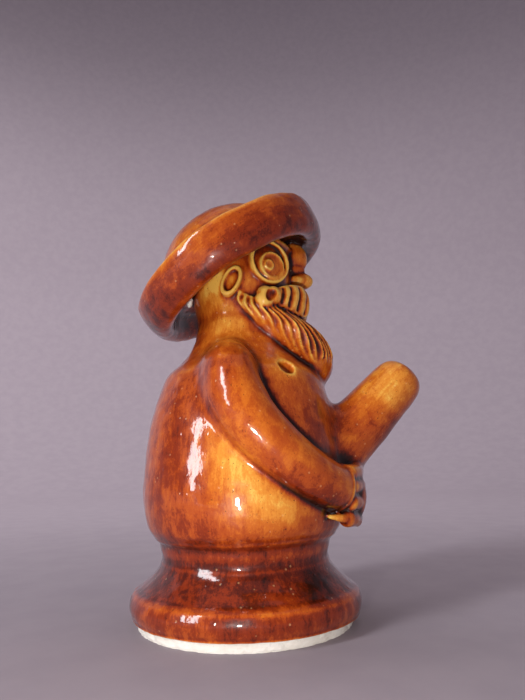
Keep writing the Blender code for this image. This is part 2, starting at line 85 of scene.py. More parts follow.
FINGER_HEIGHTS = [48.9, 44.0, 39.1, 34.4]
FINGER_RADIUS = 2.9
FINGER_PATH_RADII = [40.4, 40.6, 40.4, 39.0]
FINGER_SPAN = (29.5, 5.0)  # degrees from the front
PALM_CENTRE = Vector((-10.5, -36.8, 41.8))
PALM_SIZE = Vector((7.0, 5.4, 9.6))
THUMB = [((-23.0, -27.8, 35.4), 0.8), ((-21.8, -31.6, 34.8), 1.25), ((-18.4, -35.6, 34.0), 1.8),
         ((-12.0, -38.0, 33.0), 2.1)]
# Degrees from the front, distance from the axis, height.
KNUCKLES = [(27.0, 40.8, 50.0), (29.0, 41.0, 45.5), (29.0, 40.6, 39.5), (27.5, 39.0, 34.8)]
KNUCKLE_RADIUS = 1.7
# From the cheeks to the tip: degrees to the side, distance from the axis and height there, and the same two in
# front.
BEARD_ROWS = [(95.0, 18.6, 115.0, 21.6, 106.4), (93.0, 18.4, 109.6, 25.6, 103.6),
              (76.0, 16.8, 102.8, 30.8, 99.2), (55.0, 17.2, 96.6, 33.8, 94.0), (36.0, 19.6, 91.0, 34.6, 88.6),
              (18.0, 25.0, 85.4, 33.8, 84.2), (8.0, 29.6, 82.2, 32.0, 81.4)]
BEARD_GRID = (90, 300)  # rows and columns
STRANDS = 31
# From the middle to the curl: degrees from the front, top, bottom, distance from the axis.
MOUSTACHE_ROWS = [(2.5, 116.2, 107.6, 26.2), (14.0, 117.4, 105.6, 26.4), (27.0, 117.0, 105.6, 25.6),
                  (40.0, 116.0, 106.6, 24.6), (50.0, 114.6, 107.6, 23.6), (57.0, 113.6, 108.4, 22.4)]
SLATS = 6
# Lumps, each as its centre and half sizes.
NOSE = [((0.0, -20.2, 131.6), (4.2, 6.0, 6.6)), ((0.0, -20.6, 126.4), (3.4, 4.4, 5.4)),
        ((0.0, -21.6, 122.0), (3.9, 6.6, 3.8)), ((-2.9, -21.0, 121.6), (1.9, 3.6, 2.1)),
        ((2.9, -21.0, 121.6), (1.9, 3.6, 2.1))]
EYE_ANGLE = 57.0
EYE_HEIGHT = 124.1
EYE_RING_OUTER = 8.2
EYE_RING_INNER = 7.0
EYE_DISC_RADIUS = 5.2
PUPIL_RADIUS = 1.6
PUPIL_WIRE = 0.5
DISC_SHIFT = (-0.8, -1.3)  # towards the nose and up
PUPIL_SHIFT = (0.9, -1.5)
CURL_ANGLE = 61.0
CURL_HEIGHT = 110.4
CURL_LEAN = -24.0
# Degrees round from the curl's place, out, up, half sizes.
CURL_LUMPS = [(4.0, 1.2, -1.1, (3.4, 3.6, 3.4)), (-5.0, 1.4, 0.7, (3.5, 3.6, 3.4)),
              (3.0, 1.1, 1.0, (3.2, 3.0, 3.2))]
EAR_ANGLE = 98.0
EAR_HEIGHT = 116.2
EAR_LENGTH = 11.8
EAR_WIDTH = 6.6
EAR_LEAN = 26.0
CRUMB_PLACE = (-5.2, 19.6, 113.2)
CRUMB_SIZE = (1.5, 1.1, 1.9)

# ---- marks of the hand and of the glaze ----
TURNING_LINES = [(11.2, 0.12), (20.4, 0.10), (28.2, 0.14)]  # height and depth
THUMBED = [  # where, how far, and how many strokes of the thumb
    ((-25.0, 11.0, 83.0), (13.0, 10.0, 12.0), 400),  # back of the shoulder
    ((-16.0, 2.0, 93.0), (9.0, 9.0, 6.0), 160),  # top of the shoulder
    ((-5.0, -38.0, 68.0), (16.0, 12.0, 12.0), 500),  # root of the spout
    ((-34.0, 6.0, 66.0), (10.0, 8.0, 12.0), 60),  # outer edge of the sleeve
]
CUFF_AREA = ((-20.0, -33.0, 43.0), (7.0, 7.0, 12.0))
# Along this line the colour is darkened: painted shade together with pooled glaze.
GULLY = [(-28.5, -6.0, 79.5), (-31.5, -11.5, 72.5), (-32.0, -16.0, 65.5), (-30.0, -20.5, 60.5),
         (-26.5, -25.5, 56.6), (-22.5, -29.5, 54.6), (-17.0, -33.5, 54.0),
         (-10.0, -36.5, 54.0)]  # between the sleeve and the chest
SHALLOW_PLACES = [(0.45, (-19.0, -14.0, 96.0), (5.0, 9.0, 11.0)),  # the edge of the beard
                  (0.65, (-37.0, 2.0, 57.0), (10.0, 15.0, 20.0))]  # behind the arm
SHALLOW_BANDS = [(0.45, 19.0, 6.0),  # the flare above the foot
                 (0.65, 26.5, 3.0)]  # the groove at the waist
LAID_ON = [  # glaze laid on thick (positive) or thin (negative), where, and how far
    (-0.46, (-35, -2, 51), (14, 9, 11)),  # belly under the arm
    (-0.34, (-33, -12, 40), (12, 10, 7)),
    (-0.16, (-34, 4, 60), (10, 6, 12)),
    (0.15, (-26, 24, 50), (16, 15, 34)),  # back of the belly
    (0.08, (-26, -19, 33), (12, 9, 6)),
    (0.16, (-26, -24, 16), (12, 12, 6)),  # front of the flare
    (-0.10, (-26, 16, 22), (12, 12, 5)),  # back of the flare
    (-0.62, (-16, 7, 118), (9, 10, 7)),  # side of the head, under the brim
    (-0.26, (-17, 2, 101), (10, 14, 9)),  # neck
    (-0.30, (-9, -52, 77), (11, 12, 12)),  # spout
    (0.32, (-5, -54, 64), (12, 16, 8)),  # under the spout
    (0.20, (-5, -64, 84), (12, 8, 10)),
    (0.16, (-22, -25, 70), (9, 10, 16)),  # chest
    (-0.16, (-17, -9, 118), (6, 6, 7)),  # cheek
    (0.10, (-4, -24, 128), (6, 6, 9)),  # nose
    (0.16, (-18, -27, 133), (16, 9, 9)),  # front of the hat
    (0.14, (-8, 34, 108), (24, 10, 10)),  # back of the hat
    (0.26, (-20.0, -33.5, 33.5), (7.0, 7.0, 4.0)),  # under the thumb
]
LAID_IN_BANDS = [  # how much, height, spread
    (0.16, 29.0, 5.0),  # the waist
    (0.10, 22.0, 4.0),
    (0.26, 15.5, 4.6),  # over the foot's ridge
    (0.37, 7.4, 3.4),  # the edge of the foot
    (0.16, 3.2, 0.8),  # the lower edge of the glaze
]


# ---- lines and frames ----

def smooth_line(points, steps=8):
    """A Catmull-Rom line through the points, as an array, with its ends kept."""
    points = np.asarray(points, float)
    padded = np.vstack([2 * points[0] - points[1], points, 2 * points[-1] - points[-2]])
    t = (np.arange(steps) / steps)[:, None]
    line = []
    for before, start, end, after in zip(padded, padded[1:], padded[2:], padded[3:]):
        line.append(0.5 * (2 * start + (end - before) * t + (2 * before - 5 * start + 4 * end - after) * t * t
                           + (3 * start - before - 3 * end + after) * t ** 3))
    return np.vstack([*line, points[-1:]])


def round_the_head(angle, radius, height):
    """Points round the turning axis, from an angle in degrees from the front towards the figure's right."""
    turn = np.radians(angle)
    return np.stack(np.broadcast_arrays(-radius * np.sin(turn), -radius * np.cos(turn), height), -1)


def on_the_head(angle, height, out=0.0, lean=0.0):
    """A frame on the head's surface: Z out of the head, Y up, X towards the back of the right side."""
    turn = math.radians(angle)
    out_axis = Vector((-math.sin(turn), -math.cos(turn), 0.0))
    up_axis = Vector((0.0, 0.0, 1.0))
    place = Matrix((up_axis.cross(out_axis), up_axis, out_axis)).transposed().to_4x4()
    place.translation = Vector(round_the_head(angle, HEAD_RADIUS + out, height))
    return place @ Matrix.Rotation(math.radians(lean), 4, "Z")


def hat_frame():
    return Matrix.Translation(HAT_CENTRE) @ Matrix.Rotation(-HAT_TILT, 4, "X")


def spout_frame():
    return Matrix.Translation(SPOUT_ROOT) @ Matrix.Rotation(math.pi / 2 - SPOUT_LEAN, 4, "X")


def placed(points, place):
    turn = np.array(place)
    return points @ turn[:3, :3].T + turn[:3, 3]


# ---- shapes, each as points and faces ----

def grid_faces(rows, columns, wrap=False):
    row, column = np.meshgrid(np.arange(rows - 1), np.arange(columns if wrap else columns - 1), indexing="ij")
    after = (column + 1) % columns
    quads = np.stack([row * columns + column, row * columns + after, (row + 1) * columns + after,
                      (row + 1) * columns + column], -1)
    return quads.reshape(-1, 4).tolist()


def capped_rings(rings):
    """A closed shape through rings of points, with a flat cap on the first and last ring."""
    count, sides, _ = rings.shape
    faces = grid_faces(count, sides, wrap=True)
    faces += [list(range(sides))[::-1], list(range((count - 1) * sides, count * sides))]
    return rings.reshape(-1, 3), faces


def thrown(profile, place=None, sides=SIDES, steps=8, shape=None):
    """A solid thrown piece inside a profile of (radius, height). shape() may unsettle its wall."""
    line = smooth_line(profile, steps)
    angle = np.linspace(0.0, 2 * np.pi, sides, endpoint=False)
    radius = np.maximum(line[:, :1], 0.02) * np.ones(sides)
    height = line[:, 1:] * np.ones(sides)
    if shape:
        radius, height = shape(angle[None, :] * np.ones_like(radius), radius, height)
    rings = np.stack([radius * np.cos(angle), radius * np.sin(angle), height], -1)
    points, faces = capped_rings(rings)
    return (placed(points, place) if place else points), faces


def rolled(path, sides=36, steps=10):
    """A roll of clay along (centre, radius) points, with round ends."""
    centres = smooth_line([centre for centre, _ in path], steps)
    radii = smooth_line([(radius, 0.0) for _, radius in path], steps)[:, 0]
    caps = np.radians([20.0, 40.0, 58.0, 72.0, 84.0])
    first, last = centres[0] - centres[1], centres[-1] - centres[-2]
    first, last = first / np.linalg.norm(first), last / np.linalg.norm(last)
    head = [centres[0] + first * radii[0] * 0.85 * math.sin(a) for a in caps][::-1]
    tail = [centres[-1] + last * radii[-1] * 0.85 * math.sin(a) for a in caps]
    radii = np.concatenate([radii[0] * np.cos(caps)[::-1], radii, radii[-1] * np.cos(caps)])
    centres = np.vstack([head, centres, tail])
    angle = np.linspace(0.0, 2 * np.pi, sides, endpoint=False)
    side = None
    rings = []
    for index, centre in enumerate(centres):
        along = centres[min(index + 1, len(centres) - 1)] - centres[max(index - 1, 0)]
        along /= np.linalg.norm(along)
        outward = np.array([centre[0], centre[1], 0.0]) if side is None else side
        side = outward - along * (outward @ along)
        side /= np.linalg.norm(side)
        up = np.cross(along, side)
        rings.append(centre + radii[index] * (np.cos(angle)[:, None] * side + np.sin(angle)[:, None] * up))
    return capped_rings(np.array(rings))


def ball(centre, size, place=None, sides=40):
    """An ellipsoid."""
    rise = np.linspace(-90.0, 90.0, sides // 2 + 1)
    profile = np.stack([np.cos(np.radians(rise)), np.sin(np.radians(rise))], -1)
    points, faces = thrown(profile, sides=sides, steps=1)
    points = points * np.array(size)
    if place:
        points = points @ np.array(place.to_3x3()).T
    return points + np.array(centre), faces


def slab(outer, core_radius):
    """A pad from rows of outer points round the head, closed through a core near the axis."""
    rows, columns, _ = outer.shape
    flat = outer[..., :2] / np.linalg.norm(outer[..., :2], axis=-1, keepdims=True)
    inner = np.concatenate([flat * core_radius, outer[..., 2:]], -1)
    count = rows * columns
    faces = grid_faces(rows, columns)
    faces += [[index + count for index in face[::-1]] for face in faces]
    border = [column for column in range(columns)]
    border += [row * columns + columns - 1 for row in range(1, rows)]
    border += [(rows - 1) * columns + column for column in range(columns - 2, -1, -1)]
    border += [row * columns for row in range(rows - 2, 0, -1)]
    for start, end in zip(border, border[1:] + border[:1]):
        faces.append([end, start, start + count, end + count])
    return np.vstack([outer.reshape(-1, 3), inner.reshape(-1, 3)]), faces


def mirrored(shape):
    points, faces = shape
    return points * np.array([-1.0, 1.0, 1.0]), [face[::-1] for face in faces]


def joined(*shapes):
    points, faces, offset = [], [], 0
    for shape_points, shape_faces in shapes:
        points.append(shape_points)
        faces += [[index + offset for index in face] for face in shape_faces]
        offset += len(shape_points)
    return np.vstack(points), faces


# ---- pieces ----

def unsettled(angle, radius, height):
    """The faint wobble of a hand-thrown wall."""
    wobble = 0.22 * np.sin(2 * angle + 0.06 * height) + 0.14 * np.sin(3 * angle - 0.09 * height + 1.3)
    rings = 0.018 * np.sin(height * 1.9 + 0.5 * np.sin(angle)) + 0.02 * np.sin(height * 0.83 + 2.0)
    return radius + (wobble + rings) * np.clip(radius / 20.0, 0.0, 1.0), height


def brim_wobble(angle, radius, height):
    """The brim is pressed by hand, so its edge rises and falls a little."""
    out = np.clip((radius - 22.0) / 16.0, 0.0, 1.0)
    rise = 0.35 * np.sin(2 * angle + 0.7) + 0.2 * np.sin(5 * angle) + 0.12 * np.sin(9 * angle)
    height = height + out * rise
    return radius - out * 0.3 * (1 + np.sin(3 * angle + 0.4)), height


def ridged(angle, radius, height):
    """The fine turned ridge above the foot, and the wobble of the wall."""
    radius, height = unsettled(angle, radius, height)
    return radius + 0.38 * np.exp(-((height - 10.6 - 0.3 * np.sin(angle)) / 0.55) ** 2), height


def make_flange():
    return thrown([(0.0, 3.0), *FLANGE, (27.0, 26.6), (0.0, 28.0)], steps=14, shape=ridged)


def make_trunk():
    trunk = thrown([(0.0, 25.0), (27.0, 26.0), *TRUNK, (16.0, 99.4), (0.0, 100.5)], shape=unsettled)
    out = VENT_AXIS.normalized()
    hole = rolled([(VENT_CENTRE + out * reach, VENT_RADIUS) for reach in (-1.6, 1.0, 8.0)])
    return carved(trunk, hole)


def make_head():
    return thrown([(0.0, 93.0), (15.0, 95.5), *HEAD, (18.6, 135.0), (0.0, 138.0)], shape=unsettled)


def make_brim():
    profile = [(0.0, -2.8), (14.0, -2.8), (20.0, -2.8), *BRIM[::-1], (22.0, 4.0), (10.0, 4.0), (0.0, 4.0)]
    return thrown(profile, hat_frame(), shape=brim_wobble)


def make_crown():
    arc = np.radians(np.linspace(0.0, 90.0, 16))
    dome = [(CROWN_RADIUS * math.cos(a), CROWN_BASE + CROWN_RISE * math.sin(a)) for a in arc]
    return thrown([(0.0, 1.0), (CROWN_RADIUS - 0.6, 1.0), *dome], hat_frame(), steps=3)


def make_spout():
    return thrown([(0.0, -18.0), (12.5, -17.0), *SPOUT], spout_frame(), sides=120)


def make_sleeve():
    """The sleeve, with the raised rim of its cuff."""
    near_end, end = Vector(SLEEVE[-2][0]), Vector(SLEEVE[-1][0])
    place = (end - near_end).to_track_quat("Z", "Y").to_matrix().to_4x4()
    place.translation = near_end.lerp(end, CUFF_RIM_PLACE)
    rim = ring(CUFF_RIM_RADIUS, CUFF_RIM_WIDTH, -CUFF_RIM_RISE, CUFF_RIM_RISE, place)
    return joined(rolled(SLEEVE, sides=64, steps=14), rim)


def make_hand():
    """The palm, four fingers round the belly, the thumb and the row of knuckles at the cuff."""
    shapes = [ball(PALM_CENTRE, PALM_SIZE)]
    start, end = FINGER_SPAN
    for index, (height, radius) in enumerate(zip(FINGER_HEIGHTS, FINGER_PATH_RADII)):
        angles = np.linspace(start, end, 6)
        droop = 0.5 * np.sin(index + np.linspace(0.0, 2.0, 6))
        path = round_the_head(angles, radius, height + droop)
        shapes.append(rolled([(point, FINGER_RADIUS) for point in path], sides=28, steps=5))
    shapes.append(rolled(THUMB, sides=28, steps=8))
    knuckles = round_the_head(*np.array(KNUCKLES).T)
    shapes.append(rolled([(point, KNUCKLE_RADIUS) for point in knuckles], sides=28, steps=8))
    return joined(*shapes)


def make_beard():
    """A pad combed into strands that lie evenly across it and draw together at the tip."""
    rows, columns = BEARD_GRID
    table = smooth_line(BEARD_ROWS, rows // (len(BEARD_ROWS) - 1))
    across = np.linspace(-1.0, 1.0, columns)[None, :]
    down = np.linspace(0.0, 1.0, len(table))[:, None]
    side_angle, side_radius, side_height, front_radius, front_height = (table[:, i:i + 1] for i in range(5))
    front = np.cos(across * np.pi / 2).clip(0.0, 1.0) ** 0.55
    radius = side_radius + (front_radius - side_radius) * front
    height = side_height + (front_height - side_height) * front
    bare = round_the_head(side_angle * across, radius, height)
    length = np.cumsum(np.linalg.norm(np.diff(bare, axis=1, prepend=bare[:, :1]), axis=2), axis=1)
    width = length[:, -1:]
    place = 2 * length / width - 1
    place = place + 0.016 * np.sin(7 * down + 9 * across) + 0.010 * np.sin(15 * down - 4 * across)
    count = STRANDS * (1.0 - 0.5 * down ** 2)
    strand = count * place / 2
    ridge = np.exp(-(((strand % 1.0) - 0.5) / 0.22) ** 2)
    ridge = ridge * (0.8 + 0.2 * np.sin(np.floor(strand) * 2.4 + 5 * down))
    strength = np.clip(width / count / 1.8, 0.3, 1.0) * np.clip(down * 9.0 + 0.4, 0.0, 1.0)
    comb = (1.5 * ridge - 1.1) * strength
    return slab(round_the_head(side_angle * across, radius + comb, height), 6.0)


def make_moustache():
    """One half of the moustache: a pad cut across into slats."""
    table = smooth_line(MOUSTACHE_ROWS, 24)
    angle, top, bottom, radius = (table[:, i:i + 1] for i in range(4))
    level = np.linspace(1.0, -1.0, 40)[None, :]
    along = np.linspace(0.0, 1.0, len(table))[:, None]
    slat = np.abs(((SLATS * along + 0.12 * np.sin(2.5 * level)) % 1.0) - 0.5)
    groove = -1.5 * np.exp(-(slat / 0.20) ** 2) * np.clip((0.93 - np.abs(level)) * 5.0, 0.0, 1.0)
    bulge = 1.7 * (1 - np.abs(level) ** 3)
    height = (top + bottom) / 2 + (top - bottom) / 2 * level
    return slab(round_the_head(angle + 0 * level, radius - 1.6 + bulge + groove, height), 12.0)


def make_nose():
    return joined(*[ball(centre, size) for centre, size in NOSE])


def ring(radius, width, low, high, place, sides=72):
    """A raised ring with a rounded crest."""
    line = np.array([(radius - width / 2, low), (radius - width / 2, high - width / 3),
                     (radius - width / 4, high), (radius + width / 4, high),
                     (radius + width / 2, high - width / 3), (radius + width / 2, low)])
    angle = np.linspace(0.0, 2 * np.pi, sides, endpoint=False)[:, None]
    rings = np.stack([line[:, 0] * np.cos(angle), line[:, 0] * np.sin(angle), line[:, 1] + 0 * angle], -1)
    count = len(line)
    faces = grid_faces(sides, count, wrap=True)
    last = (sides - 1) * count
    faces += [[last + i, last + (i + 1) % count, (i + 1) % count, i] for i in range(count)]
    return placed(rings.reshape(-1, 3), place), faces


def make_eye_ring():
    middle, width = (EYE_RING_OUTER + EYE_RING_INNER) / 2, EYE_RING_OUTER - EYE_RING_INNER
    return ring(middle, width, -4.5, 1.6, on_the_head(EYE_ANGLE, EYE_HEIGHT))


def in_the_eye(shift, out=0.0):
    """A frame shifted within the eye, towards the nose and up."""
    place = on_the_head(EYE_ANGLE, EYE_HEIGHT, out=out)
    return place @ Matrix.Translation(Vector((-shift[0], shift[1], 0.0)))


def make_eye_disc():
    rim = EYE_DISC_RADIUS
    profile = [(0.0, -3.0), (rim, -3.0), (rim, 1.0), (rim - 0.3, 1.5), (rim - 0.7, 1.5), (rim - 1.3, 1.1),
               (rim - 2.6, 1.1), (0.0, 1.3)]
    return thrown(profile, in_the_eye(DISC_SHIFT), sides=80, steps=4)


def make_pupil():
    """A small pressed pad with a raised edge."""
    rim = PUPIL_RADIUS + PUPIL_WIRE
    profile = [(0.0, -1.0), (rim, -1.0), (rim, 0.3), (rim - 0.35, 0.75), (rim - 0.9, 0.35), (0.0, 0.25)]
    return thrown(profile, in_the_eye(PUPIL_SHIFT, out=1.5), sides=60, steps=4)


def make_curl():
    """Three lumps pressed together, with one scoop taken out of them all."""
    place = on_the_head(CURL_ANGLE, CURL_HEIGHT, lean=CURL_LEAN)

    def lump(turn, out, up, size):
        return ball(round_the_head(CURL_ANGLE + turn, HEAD_RADIUS + out, CURL_HEIGHT + up), size, place)

    scoop = lump(1.0, 4.6, 0.3, (2.0, 2.9, 2.0))
    return joined(*[carved(lump(*line), scoop) for line in CURL_LUMPS])


def almond(length, width, low, high, place, swell=0.0):
    """A petal with pointed ends."""
    turn = np.linspace(0.0, 2 * np.pi, 64, endpoint=False)
    x = width / 2 * np.sign(np.sin(turn)) * np.abs(np.sin(turn)) ** 0.9
    y = length / 2 * np.cos(turn)
    levels = [(low, 1.0), (high - 0.7, 1.0), (high - 0.2, 0.94), (high, 0.84)] if swell == 0.0 else \
             [(low, 1.0 - swell), (high, 1.0)]
    rings = np.array([np.stack([x * scale, y * scale, 0 * x + level], -1) for level, scale in levels])
    points, faces = capped_rings(rings)
    return placed(points, place), faces


def make_ear():
    place = on_the_head(EAR_ANGLE, EAR_HEIGHT, lean=-EAR_LEAN)
    ear = almond(EAR_LENGTH, EAR_WIDTH, -4.0, 2.0, place)
    return carved(ear, almond(EAR_LENGTH - 1.7, EAR_WIDTH - 1.3, 0.4, 4.0, place, swell=0.2))


# ---- meshes ----

def mesh_of(name, shape):
    points, faces = shape
    mesh = bpy.data.meshes.new(name)
    mesh.from_pydata((points * MM).tolist(), [], faces)
    mesh.validate()
    work = bmesh.new()
    work.from_mesh(mesh)
    bmesh.ops.remove_doubles(work, verts=work.verts, dist=1e-6)
    bmesh.ops.recalc_face_normals(work, faces=work.faces)
    work.to_mesh(mesh)
    work.free()
    return mesh


def shown(name, mesh):
    obj = bpy.data.objects.new(name, mesh)
    bpy.context.scene.collection.objects.link(obj)
    return obj


def applied(obj):
    """Applies the modifiers of a helper object and removes it."""
    mesh = bpy.data.meshes.new_from_object(obj.evaluated_get(bpy.context.evaluated_depsgraph_get()))
    bpy.data.objects.remove(obj)
    return mesh


def read_mesh(mesh):
    points = np.empty(len(mesh.vertices) * 3)
    mesh.vertices.foreach_get("co", points)
    return points.reshape(-1, 3) / MM, [list(face.vertices) for face in mesh.polygons]


def carved(shape, cutter):
    """A shape with another cut out of it."""
    obj, tool = shown("carved", mesh_of("carved", shape)), shown("tool", mesh_of("tool", cutter))
    cut = obj.modifiers.new("Cut", "BOOLEAN")
    cut.object = tool
    cut.solver = "EXACT"
    result = read_mesh(applied(obj))
    bpy.data.objects.remove(tool)
    return result


def fused(shapes):
    """One closed skin over all the shapes: its points, its four-sided faces and its edges."""
    obj = shown("fused", mesh_of("fused", joined(*shapes)))
    melt = obj.modifiers.new("Melt", "REMESH")
    melt.mode = "VOXEL"
    melt.voxel_size = VOXEL * MM
    mesh = applied(obj)
    points = np.empty(len(mesh.vertices) * 3)
    mesh.vertices.foreach_get("co", points)
    edges = np.empty(len(mesh.edges) * 2, np.int64)
    mesh.edges.foreach_get("vertices", edges)
    faces = np.empty(len(mesh.loops), np.int64)
    mesh.loops.foreach_get("vertex_index", faces)
    return points.reshape(-1, 3) / MM, faces.reshape(-1, 4), edges.reshape(-1, 2)


def neighbour_mean(values, edges, degree):
    """The mean of every point's neighbours."""
    first, second = edges.T
    count = len(values)
    columns = [np.bincount(first, column[second], count) + np.bincount(second, column[first], count)
               for column in values.reshape(count, -1).T]
    return (np.stack(columns, -1) / degree[:, None]).reshape(values.shape)


def relaxed(values, edges, degree, rounds):
    for _ in range(rounds):
        values = values + 0.5 * (neighbour_mean(values, edges, degree) - values)
    return values


def point_normals(points, faces):
    corners = points[faces]
    normal = np.cross(corners[:, 2] - corners[:, 0], corners[:, 3] - corners[:, 1])
    total = np.stack([sum(np.bincount(faces[:, corner], normal[:, axis], len(points)) for corner in range(4))
                      for axis in range(3)], -1)
    return total / np.maximum(np.linalg.norm(total, axis=1, keepdims=True), 1e-12)


def wander(points, size, seed):
    """Smooth noise from -1 to 1 about as coarse as size."""
    rng = np.random.default_rng(seed)
    total = np.zeros(len(points))
    for _ in range(9):
        direction = rng.normal(size=3)
        direction /= np.linalg.norm(direction)
        total += np.sin(points @ direction * (2 * np.pi / size) * rng.uniform(0.6, 1.5) + rng.uniform(0, 7))
    return total / 4.0


def near(points, centre, reach):
    """1 at a place and fading to 0 a reach away, for an ellipsoid of influence."""
    offset = (points - np.array(centre)) / np.array(reach)
    return np.exp(-(offset ** 2).sum(1))


def in_band(points, height, spread):
    """1 at a height and fading to 0 above and below."""
    return np.exp(-((points[:, 2] - height) / spread) ** 2)


def on_the_right(points):
    """Every point moved onto the figure's right side."""
    return points * np.where(points[:, :1] > 0, [[-1.0, 1.0, 1.0]], [[1.0, 1.0, 1.0]])


def from_line(points, line):
    """How far each point lies from a line through places."""
    line = smooth_line(line, 10)
    return np.sqrt(((points[:, None, :] - line[None]) ** 2).sum(2).min(1))


# ---- build and fuse ----

SHAPES = {
    "base_flange": make_flange(), "body_shell": make_trunk(), "head": make_head(),
    "hat_brim": make_brim(), "hat_crown": make_crown(), "front_spout": make_spout(), "beard": make_beard(),
    "nose": make_nose(),
}
for part, make in (("sleeve", make_sleeve), ("hand", make_hand), ("moustache", make_moustache),
                   ("eye_ring", make_eye_ring), ("eye_disc", make_eye_disc), ("pupil_ring", make_pupil),
                   ("moustache_curl", make_curl), ("ear", make_ear)):
    right = make()
    SHAPES[part + "_right"] = right
    SHAPES[part + "_left"] = mirrored(right)

names = list(SHAPES)
points, faces, edges = fused([SHAPES[name] for name in names])
degree = np.bincount(edges.ravel(), minlength=len(points)).astype(float)

# Which piece each face belongs to: the nearest of the shapes that were fused.
all_points, all_faces = joined(*[SHAPES[name] for name in names])
owner_of_face = np.repeat(np.arange(len(names)), [len(SHAPES[name][1]) for name in names])
tree = BVHTree.FromPolygons(all_points.tolist(), all_faces)
owner = np.array([owner_of_face[tree.find_nearest(centre)[2]] for centre in points[faces].mean(1).tolist()])
owner_at = np.zeros(len(points), np.int64)
owner_at[faces.ravel()] = np.repeat(owner, 4)


def is_part(*wanted):
    """1 at the points of the pieces whose names start so, else 0."""
    return np.isin(owner_at, [names.index(name) for name in names if name.startswith(wanted)]).astype(float)


def soft_mask(values, rounds=12):
    return relaxed(values, edges, degree, rounds)


# The face and the hands keep their detail, and the glaze rounds off the rest.
fine = is_part("beard", "nose", "moustache", "eye", "pupil", "ear", "hand")
fine = np.maximum(fine, near(on_the_right(points), *CUFF_AREA))
fine = soft_mask(fine, 4)[:, None]
points = relaxed(points, edges, degree, 2)
melted = relaxed(points, edges, degree, 9)
points = points * fine + melted * (1 - fine)


def softened(points, centre, reach, rounds):
    """Smooths the skin round a place on both sides of the figure, as a thumb does."""
    share = near(on_the_right(points), centre, reach)
    share = np.where(share > 0.02, share, 0.0)
    inside = np.nonzero(share)[0]
    local = np.full(len(points), -1)
    local[inside] = np.arange(len(inside))
    own = local[edges]
    own = own[(own >= 0).all(1)]
    own_degree = np.maximum(np.bincount(own.ravel(), minlength=len(inside)).astype(float), 1.0)
    moved = points[inside]
    weight = np.minimum(1.6 * share[inside], 1.0)[:, None]
    for _ in range(rounds):
        moved = moved + 0.5 * weight * (neighbour_mean(moved, own, own_degree) - moved)
    points = points.copy()
    points[inside] = moved
    return points


for place, reach, rounds in THUMBED:
    points = softened(points, place, reach, rounds)
normals = point_normals(points, faces)
swell = 0.10 * wander(points, 17.0, 1) + 0.05 * wander(points, 6.0, 2)
around = np.arctan2(points[:, 1], points[:, 0])
for height, depth in TURNING_LINES:  # proud lines, each a little out of true
    swell += depth * np.exp(-((points[:, 2] - height - 0.35 * np.sin(around + height)) / 0.5) ** 2)
points = points + normals * swell[:, None]
normals = point_normals(points, faces)

# How the glaze lies. Positive where the skin is hollow, negative over ridges, at three scales.
pool = np.zeros(len(points))
level, soft = points, 0
for rounds, gain in ((4, 3.0), (24, 1.1), (110, 0.42)):
    level = relaxed(level, edges, degree, rounds - soft)
    soft = rounds
    pool += gain * ((level - points) * normals).sum(1)
pool = relaxed(pool, edges, degree, 2)
pool = np.where(pool < 0.0, 0.74 * pool, pool)
for share, place, reach in SHALLOW_PLACES:
    pool *= 1.0 - share * near(on_the_right(points), place, reach)
for share, height, spread in SHALLOW_BANDS:
    pool *= 1.0 - share * in_band(points, height, spread)


# ---- glaze ----

def painted(points):
    """Where the glaze was laid on thick (positive) or ran thin (negative), by place."""
    load_and_shade = np.zeros(len(points))
    for amount, place, reach in LAID_ON:
        load_and_shade += amount * near(on_the_right(points), place, reach)
    for amount, height, spread in LAID_IN_BANDS:
        load_and_shade += amount * in_band(points, height, spread)
    return load_and_shade


load_and_shade = painted(points)
# Painted shade with pooled glaze: darker along the gully between the sleeve and the chest.
load_and_shade += 0.42 * np.exp(-(from_line(on_the_right(points), GULLY) / 2.6) ** 2)
load_and_shade += 0.12 * soft_mask(is_part("hat_brim"))
load_and_shade -= 0.07 * soft_mask(is_part("ear", "eye", "moustache", "nose", "pupil"), 4)
load_and_shade += 0.05 * wander(points, 30.0, 5)
load_and_shade += 0.14 * soft_mask(is_part("hand"), 4) * (1.0 + 0.8 * wander(points, 5.0, 12))
load_and_shade += 0.06 * fine[:, 0] * wander(points, 3.5, 13)

# Little glaze stayed in the vent, on the eye's pad and in the curl.
in_vent = near(points, VENT_CENTRE - 3.2 * VENT_AXIS.normalized(), (3.4, 3.4, 3.4))
in_vent *= points[:, 0] < 0
load_and_shade -= 0.90 * in_vent
pool *= 1.0 - in_vent
for centre, reach, share in ((in_the_eye(DISC_SHIFT, out=1.0).translation, 5.5, 0.60),
                             (round_the_head(CURL_ANGLE, HEAD_RADIUS + 3.4, CURL_HEIGHT), 2.6, 0.55)):
    pool *= 1.0 - share * near(on_the_right(points), centre, (reach,) * 3)


def along_path(points, path, stretch):
    """Place across a roll, and along it shortened by stretch."""
    line = smooth_line([centre for centre, _ in path], 12)
    length = np.concatenate([[0.0], np.cumsum(np.linalg.norm(np.diff(line, axis=0), axis=1))])
    nearest = ((points[:, None, :] - line[None]) ** 2).sum(2).argmin(1)
    before, after = np.maximum(nearest - 1, 0), np.minimum(nearest + 1, len(line) - 1)
    along = line[after] - line[before]
    along /= np.linalg.norm(along, axis=1, keepdims=True)
    offset = points - line[nearest]
    forward = (offset * along).sum(1)
    across = offset - along * forward[:, None]
    return np.column_stack([across[:, 0], across[:, 1] + across[:, 2], (length[nearest] + forward) * stretch])


